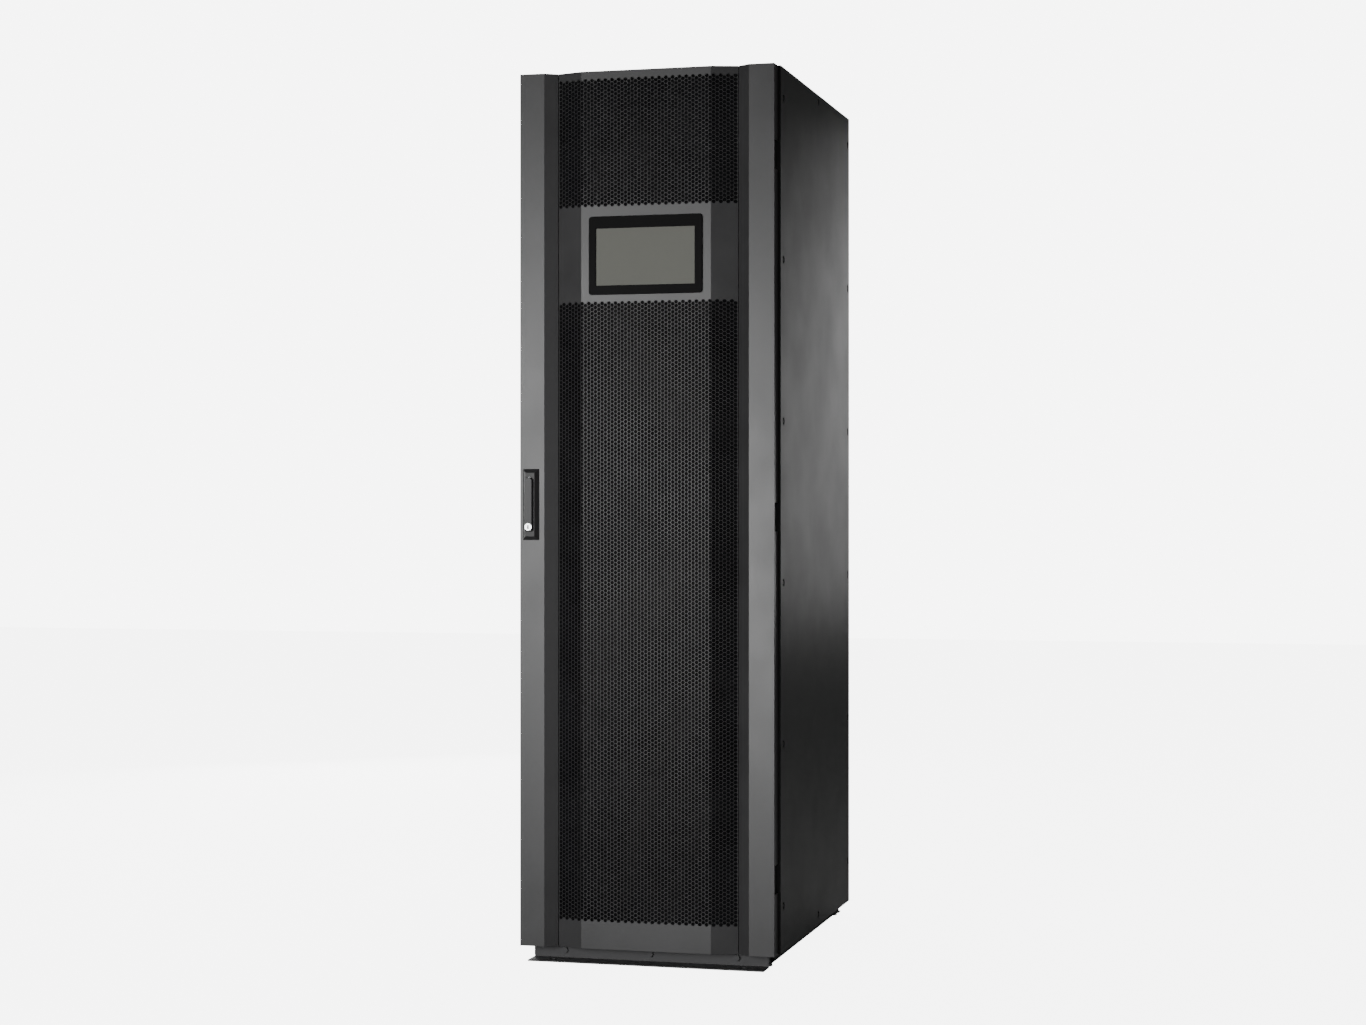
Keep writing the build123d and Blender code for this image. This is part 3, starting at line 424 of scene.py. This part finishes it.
# %% [markdown]
# ## From flat honeycomb to bowed sheet
#
# The rows of holes are counted in half steps, because every second column sits half a pitch higher. The
# flat sheet is cut along its two bends first, so each bend is a clean straight edge, and then every
# point moves back by the sheet's own section. It is made in three heights, to keep each mesh light. A
# flat flange closes each end of the bow, as the folded ends of the real sheet do.

# %% Front door sheet
sheet_low, sheet_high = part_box("front_door_centre_sheet")
SHEET_HALF = sheet_high.x
BEND = 150.0 * MM
BACKSET = 17.0 * MM
FACE_Y = sheet_low.y
SHEET_T = 1.5 * MM
SIDE_FOLD = 11.0 * MM
DOOR_HALF_COLUMNS = 26
FRONT_BANDS = [(-16, -1, False), (0, 307, True), (308, 355, False), (356, 418, True), (419, 426, False)]
LOWER_JOIN, UPPER_JOIN = 784.5 * MM, 1585.0 * MM
CUTS = [sheet_low.z, LOWER_JOIN, UPPER_JOIN, sheet_high.z]


def door_section(x):
    """How far back the sheet's outer face lies at a place across the door."""
    return FACE_Y + max(0.0, abs(x) - BEND) / (SHEET_HALF - BEND) * BACKSET


def at_side(vert):
    return abs(abs(vert.co.x) - SHEET_HALF) < 0.01 * MM


def door_sheet(index):
    bm = honeycomb(DOOR_HALF_COLUMNS, FRONT_BANDS)
    low, high = CUTS[index], CUTS[index + 1]
    trimmed(bm, (0, 0, low), (0, 0, -1))
    trimmed(bm, (0, 0, high), (0, 0, 1))
    for side in (-1, 1):
        trimmed(bm, (side * SHEET_HALF, 0, 0), (side, 0, 0))
        trimmed(bm, (side * BEND, 0, 0), (side, 0, 0), clear=False)
    for v in bm.verts:
        v.co.y = door_section(v.co.x)
    edge = [e for e in bm.edges if e.is_boundary and all(at_side(v) for v in e.verts)]
    made = bmesh.ops.extrude_edge_only(bm, edges=edge)["geom"]
    folded = [g for g in made if isinstance(g, bmesh.types.BMVert)]
    bmesh.ops.translate(bm, verts=folded, vec=(0, SIDE_FOLD, 0))
    bmesh.ops.recalc_face_normals(bm, faces=bm.faces)
    if sum(f.normal.y * f.calc_area() for f in bm.faces) > 0:
        bmesh.ops.reverse_faces(bm, faces=bm.faces)
    mesh = bpy.data.meshes.new(f"front_door_mesh_{index + 1}")
    bm.to_mesh(mesh)
    bm.free()
    piece = new_piece(mesh.name, mesh, "front_door", DOOR_COAT, slot_of("front_door_centre_sheet"))
    # Holed tiles take the darker coat: painted shade on the perforated fields.
    mesh.materials.append(MESH_SHADE_COAT)
    wall = piece.modifiers.new("thickness", "SOLIDIFY")
    wall.thickness = SHEET_T
    wall.offset = -1.0
    return piece


def end_flanges():
    """The folds that close the bowed sheet at its top and bottom, drawn out from its front line."""
    inset = 0.3 * MM
    reach = SHEET_HALF - inset
    bm = bmesh.new()
    for low in (sheet_low.z, sheet_high.z - SHEET_T):
        line = [bm.verts.new((x, door_section(x) + inset, low)) for x in (-reach, -BEND, BEND, reach)]
        folds = [bm.edges.new(pair) for pair in zip(line, line[1:])]
        back = bmesh.ops.extrude_edge_only(bm, edges=folds)["geom"]
        for v in [g for g in back if isinstance(g, bmesh.types.BMVert)]:
            v.co.y = sheet_high.y
        flat = [g for g in back if isinstance(g, bmesh.types.BMFace)]
        upper = bmesh.ops.extrude_face_region(bm, geom=flat)["geom"]
        raised = [g for g in upper if isinstance(g, bmesh.types.BMVert)]
        bmesh.ops.translate(bm, verts=raised, vec=(0, 0, SHEET_T))
    bmesh.ops.recalc_face_normals(bm, faces=bm.faces)
    print("flange open edges", sum(not e.is_manifold for e in bm.edges))
    mesh = bpy.data.meshes.new("door_end_flanges")
    bm.to_mesh(mesh)
    bm.free()
    return new_piece(mesh.name, mesh, "front_door", DOOR_COAT, slot_of("front_door_centre_sheet"))


door_pieces = [door_sheet(i) for i in range(3)]
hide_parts("front_door_centre_sheet")
print("door sheet faces", [len(p.data.polygons) for p in door_pieces])
print("flange faces", len(end_flanges().data.polygons))

# %% [markdown]
# ## The rear door
#
# Air leaves through the rear door, so its skin has one tall perforated field with a coarser pitch. A
# window is opened in a copy of the folded door, and a honeycomb sheet is set into it from inside, as if
# welded in. A Boolean could open the window, but it easily loses the faces of a thin folded sheet. Four
# cuts with bisect_plane mark the window's edges, its faces are deleted, and bridge_loops closes the rim.

# %% Rear door
REAR_PITCH = 14.0 * MM
REAR_HALF_COLUMNS = 18
REAR_HOLE = 0.86
REAR_HALF = REAR_HALF_COLUMNS * REAR_PITCH * math.sqrt(3.0) / 2.0
REAR_LOW, REAR_HIGH = 150.0 * MM, 1880.0 * MM
REAR_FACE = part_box("rear_door_panel")[1].y


def in_window(point):
    """Whether a point lies within the rear door's window, seen straight on, rim included."""
    slack = 0.01 * MM
    return abs(point.x) < REAR_HALF + slack and REAR_LOW - slack < point.z < REAR_HIGH + slack


def rear_door_shape():
    bm = welded("rear_door_panel")
    for side in (-1, 1):
        trimmed(bm, (side * REAR_HALF, 0, 0), (side, 0, 0), clear=False)
    for height in (REAR_LOW, REAR_HIGH):
        trimmed(bm, (0, 0, height), (0, 0, 1), clear=False)
    skin = [f for f in bm.faces if abs(f.normal.y) > 0.9 and all(in_window(v.co) for v in f.verts)]
    bmesh.ops.delete(bm, geom=skin, context="FACES")
    rim = [e for e in bm.edges if e.is_boundary]
    bmesh.ops.bridge_loops(bm, edges=rim)
    bmesh.ops.recalc_face_normals(bm, faces=bm.faces)
    print("window rim", len(rim), "open edges left", sum(e.is_boundary for e in bm.edges))
    return bm


def rear_door_mesh():
    rows = int((REAR_HIGH - REAR_LOW) / REAR_PITCH * 2)
    sheet = honeycomb(REAR_HALF_COLUMNS, [(-1, rows + 1, True)], REAR_PITCH, REAR_LOW, REAR_HOLE)
    for v in sheet.verts:
        v.co.y = REAR_FACE - SHEET_T
    bmesh.ops.reverse_faces(sheet, faces=sheet.faces)
    mesh = bpy.data.meshes.new("rear_door_mesh")
    sheet.to_mesh(mesh)
    sheet.free()
    insert = new_piece("rear_door_mesh", mesh, "rear_door", DOOR_COAT, slot_of("rear_door_panel"))
    mesh.materials.append(DOOR_COAT)
    wall = insert.modifiers.new("thickness", "SOLIDIFY")
    wall.thickness = SHEET_T
    wall.offset = -1.0
    return insert


rear_panel = rounded("rear_door_panel", DOOR_COAT, 0.5 * MM, shape=rear_door_shape())
print("rear door faces", len(rear_panel.data.polygons), len(rear_door_mesh().data.polygons))

# %% [markdown]
# ## Seals behind the door's seams, dark as painted shade
#
# The centre sheet meets each stile in a narrow seam. On the real door a strip of foam closes it from
# inside, so no air passes beside the filter. Here the strip is also painted shade: it is dark, so no light
# comes through and the seam reads black. Each strip is a box with its long edges bevelled, since foam
# tape has soft corners.

# %% Seam seals, dark as painted shade
SHADE_SEAL_LOW_X, SHADE_SEAL_HIGH_X = 0.2035, 0.2093
SHADE_SEAL_DEPTH = 3.0 * MM


def seam_shade_seals():
    everything = bmesh.new()
    for side in (-1, 1):
        strip = bmesh.ops.create_cube(everything, size=1.0)["verts"]
        height = sheet_high.z - sheet_low.z - 30 * MM
        bmesh.ops.scale(everything, verts=strip, vec=(SHADE_SEAL_HIGH_X - SHADE_SEAL_LOW_X, SHADE_SEAL_DEPTH, height))
        middle_x = side * (SHADE_SEAL_LOW_X + SHADE_SEAL_HIGH_X) / 2
        fold_end = FACE_Y + BACKSET + SIDE_FOLD
        place = (middle_x, fold_end + SHADE_SEAL_DEPTH / 2, (sheet_low.z + sheet_high.z) / 2)
        bmesh.ops.translate(everything, verts=strip, vec=place)
    long_edges = [e for e in everything.edges if e.calc_length() > 1.0]
    bmesh.ops.bevel(
        everything, geom=long_edges, offset=0.8 * MM, segments=2, profile=0.5, affect="EDGES", material=-1
    )
    mesh = bpy.data.meshes.new("door_seam_seals")
    everything.to_mesh(mesh)
    everything.free()
    # The strips are dark rubber: painted shade in the seam.
    return new_piece("door_seam_seals", mesh, "front_door", RUBBER, slot_of("front_door_gasket"))


print("seam seal faces", len(seam_shade_seals().data.polygons))

# %% [markdown]
# ## Display and handle
#
# The bezel is a moulded frame with soft edges around the glass. The handle is a die casting, so its
# edges are rounder than the folded sheets. The lock cylinder is polished.

# %% Display, handles and locks
rounded("display_bezel", BEZEL_GLOSS, 1.2 * MM, segments=3)
rounded("display_screen", SCREEN_GLASS, 0.3 * MM)
for side in ("front", "rear"):
    rounded(f"{side}_handle_escutcheon", PLATE_CAST, 0.8 * MM, segments=3, turn=20.0)
    rounded(f"{side}_handle_lever", LEVER_CAST, 0.9 * MM, segments=3, turn=35.0)
    rounded(f"{side}_lock_cylinder", CHROME, 0.5 * MM, segments=2, turn=50.0)


def keyway_shade(side):
    """The black bottom of a lock's key slot, painted shade for the slot's depth, with the ward's groove
    pressed in.
    """
    node = f"{side}_lock_cylinder"
    low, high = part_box(node)
    outward = -1 if side == "front" else 1
    outer = low.y if side == "front" else high.y
    bm = bmesh.new()
    bmesh.ops.create_cube(bm, size=1.0)
    bmesh.ops.scale(bm, verts=bm.verts, vec=(3.1 * MM, 2.4 * MM, 8.3 * MM))
    place = ((low.x + high.x) / 2, outer - outward * 3.2 * MM, (low.z + high.z) / 2)
    bmesh.ops.translate(bm, verts=bm.verts, vec=place)
    face = [f for f in bm.faces if f.normal.y * outward > 0.9]
    bmesh.ops.inset_individual(bm, faces=face, thickness=0.8 * MM, depth=-1.0 * MM)
    mesh = bpy.data.meshes.new(f"{side}_keyway")
    bm.to_mesh(mesh)
    bm.free()
    # Black plastic here is painted shade at the bottom of the key slot.
    return new_piece(f"{side}_keyway", mesh, NODES[node]["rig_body"], BLACK_PLASTIC, slot_of(node))


print("keyways", [keyway_shade(side).name for side in ("front", "rear")])

# %% [markdown]
# ## Panel fasteners
#
# Each side panel hangs on quarter-turn fasteners: a round cup that sits in the sheet, with a slotted
# stud in the middle. A turned part is best made by spinning its half section, so the cup's outline is
# drawn as a few points and spun in 24 steps. A thin bar across the stud stands for its screwdriver slot.

# %% Fasteners
def turned(profile, steps=24):
    """Spin a half section, given as (radius, height) points, about +X."""
    bm = bmesh.new()
    verts = [bm.verts.new((h, r, 0.0)) for r, h in profile]
    edges = [bm.edges.new(pair) for pair in zip(verts, verts[1:])]
    outline = verts + edges
    bmesh.ops.spin(
        bm, geom=outline, cent=(0, 0, 0), axis=(1, 0, 0), angle=2 * math.pi, steps=steps, use_merge=True
    )
    bmesh.ops.remove_doubles(bm, verts=bm.verts, dist=1e-6)
    bmesh.ops.recalc_face_normals(bm, faces=bm.faces)
    return bm


CUP = [
    (0.0, -7.0), (9.6, -7.0), (9.6, -0.4), (9.2, 0.0), (8.6, 0.0), (8.2, -0.4), (7.9, -3.2), (5.4, -3.2),
    (5.1, -1.6), (4.7, -1.2), (0.0, -1.2),
]
CUP_FACE = 299.8 * MM


def fastener_places():
    """Where the CAD fasteners sit: the middle of each loose head, on both sides."""
    bm = bmesh.new()
    bm.from_mesh(NODES["side_panel_fasteners"].data)
    bmesh.ops.remove_doubles(bm, verts=bm.verts, dist=0.01 * MM)
    places = set()
    face_x = max(abs(v.co.x) for v in bm.verts)
    tops = [v.co for v in bm.verts if abs(abs(v.co.x) - face_x) < 1e-5]
    groups = []
    for co in tops:
        for group in groups:
            if (group[0] - co).length < 0.025:
                group.append(co.copy())
                break
        else:
            groups.append([co.copy()])
    bm.free()
    for group in groups:
        low = Vector([min(c[i] for c in group) for i in range(3)])
        high = Vector([max(c[i] for c in group) for i in range(3)])
        middle = (low + high) / 2
        places.add((math.copysign(1, middle.x), round(middle.y, 4), round(middle.z, 4)))
    return sorted(places)


def fasteners():
    one = turned([(r * MM, h * MM) for r, h in CUP])
    slot_bar = bmesh.ops.create_cube(one, size=1.0)["verts"]
    bmesh.ops.scale(one, verts=slot_bar, vec=(0.9 * MM, 8.0 * MM, 1.6 * MM))
    bmesh.ops.translate(one, verts=slot_bar, vec=(-1.2 * MM, 0, 0))
    seed = bpy.data.meshes.new("fastener")
    one.to_mesh(seed)
    one.free()
    everything = bmesh.new()
    for side, y, z in fastener_places():
        copy = seed.copy()
        face = Matrix.Identity(4) if side > 0 else Matrix.Rotation(math.pi, 4, "Z")
        copy.transform(Matrix.Translation((side * CUP_FACE, y, z)) @ face)
        everything.from_mesh(copy)
        bpy.data.meshes.remove(copy)
    mesh = bpy.data.meshes.new("panel_fasteners")
    everything.to_mesh(mesh)
    everything.free()
    mesh.shade_flat()
    node = "side_panel_fasteners"
    return new_piece("panel_fasteners", mesh, "cabinet", BLACK_PLASTIC, slot_of(node), node)


places = fastener_places()
fasteners()
print("fasteners", len(places))

# %% [markdown]
# ## Battery modules close up
#
# With the door open, the module fronts are what one looks at. Each has a vent grille over its fan, a
# pair of data sockets, and three small status lenses. The grille uses the honeycomb tiles again at a
# smaller pitch. A socket is a block whose two front faces are inset and pushed in, as a moulded one is.

# %% Module grilles, sockets and lenses
MODULE_FLOORS = [62.0 * MM + 177.8 * MM * i for i in range(8)]
MODULE_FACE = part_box("module_front_panels")[0].y
GRILLE_PITCH = 7.0 * MM
GRILLE_HALF_COLUMNS = 5
GRILLE_HOLE = 0.74
GRILLE_BANDS = [(-3, -1, False), (0, 31, True), (32, 34, False)]


def copied(bm, seed, places):
    """Add a copy of seed to bm at every place."""
    for place in places:
        copy = seed.copy()
        copy.transform(Matrix.Translation(place))
        bm.from_mesh(copy)
        bpy.data.meshes.remove(copy)


def repeated_piece(name, seed, places, material, slot, *nodes):
    bm = bmesh.new()
    copied(bm, seed, places)
    mesh = bpy.data.meshes.new(name)
    bm.to_mesh(mesh)
    bm.free()
    return new_piece(name, mesh, "cabinet", material, slot, *nodes)


def grille_seed():
    bm = honeycomb(GRILLE_HALF_COLUMNS, GRILLE_BANDS, GRILLE_PITCH, 0.0, GRILLE_HOLE)
    for face in bm.faces:
        face.material_index = 0
    mesh = bpy.data.meshes.new("grille")
    bm.to_mesh(mesh)
    bm.free()
    return mesh


def socket_seed():
    """A block 50 wide, 26 high and 3 deep with two square recesses that open to -Y."""
    bm = bmesh.new()
    bmesh.ops.create_cube(bm, size=1.0)
    bmesh.ops.scale(bm, verts=bm.verts, vec=(50 * MM, 3 * MM, 26 * MM))
    trimmed(bm, (0, 0, 0), (1, 0, 0), clear=False)
    front = [f for f in bm.faces if f.normal.y < -0.9]
    bmesh.ops.inset_individual(bm, faces=front, thickness=5 * MM)
    for face in front:
        bmesh.ops.translate(bm, verts=face.verts, vec=(0, 2.6 * MM, 0))
    mesh = bpy.data.meshes.new("socket")
    bm.to_mesh(mesh)
    bm.free()
    return mesh


LENS = [(0.0, -1.0), (2.6, -1.0), (2.6, 0.5), (2.3, 0.8), (2.0, 0.6), (1.8, 1.0), (1.1, 1.5), (0.0, 1.7)]


def lens_seed():
    """A domed lens in a thin collar, turned to face -Y."""
    bm = turned([(r * MM, h * MM) for r, h in LENS], 16)
    bmesh.ops.rotate(bm, verts=bm.verts, cent=(0, 0, 0), matrix=Matrix.Rotation(-math.pi / 2, 3, "Z"))
    mesh = bpy.data.meshes.new("lens")
    bm.to_mesh(mesh)
    bm.free()
    mesh.shade_smooth()
    return mesh


def on_modules(x, y, z):
    return [(x * MM, MODULE_FACE + y * MM, floor_z + z * MM) for floor_z in MODULE_FLOORS]


module_slot = slot_of("module_front_panels")
grille_places = on_modules(-100, -1, 28)
grilles = repeated_piece("module_grilles", grille_seed(), grille_places, BLACK_PLASTIC, module_slot)
grille_wall = grilles.modifiers.new("thickness", "SOLIDIFY")
grille_wall.thickness = 0.9 * MM
grille_wall.offset = -1.0
repeated_piece(
    "module_sockets", socket_seed(), on_modules(-15, -1.5, 117), BLACK_PLASTIC,
    slot_of("module_data_sockets"), "module_data_sockets",
)
lens_places = [place for x in (-32, -15, 2) for place in on_modules(x, 0, 142)]
repeated_piece("module_lenses", lens_seed(), lens_places, GREEN_BUTTON, slot_of("start_button"))
print("module fronts", len(MODULE_FLOORS))

# %% [markdown]
# ## The parts that stay as they are
#
# Parts whose CAD shape is already right only need a finish.

# %% Finishes for the other parts
coat(FRAME_COAT, "corner_posts", "top_frame", "floor_plate", "rack_rails")
coat(FRAME_COAT, "front_lock_rod_keepers")
coat(FRAME_COAT, "anchor_angle_bolts")
coat(ZINC, "levelling_feet", "hinge_brackets", "front_hinge_leaves")
coat(ZINC, "rear_hinge_leaves", "front_upper_lock_rod", "front_lower_lock_rod", "front_handle_spindle")
coat(ZINC, "rear_handle_spindle", "module_screws", "roof_earth_studs", "start_button_ring")
# Painted shade: the near-black filter mat fills every hole of the door sheet.
coat(FILTER_SHADE_COAT, "front_door_filter")
coat(RUBBER, "front_door_gasket", "rear_door_gasket", "roof_cable_edging", "link_cables")
coat(BLACK_PLASTIC, "negative_plugs", "main_breaker_body", "main_breaker_toggle")
coat(BLACK_PLASTIC, "display_housing", "front_lock_guides")
coat(ORANGE_PLASTIC, "positive_plugs")
coat(GREEN_BUTTON, "start_button")
coat(CELL_METAL, "battery_cells")
coat(GRIP_METAL, "module_handles")
coat(MODULE_COAT, "module_front_panels", "control_unit_case", "control_unit_panel")
coat(MODULE_COAT, *[n for n in NODES if n.startswith("battery_module_")])
bare = [n for n, o in NODES.items() if not o.hide_render and not o.data.materials]
print("parts without a finish", bare)
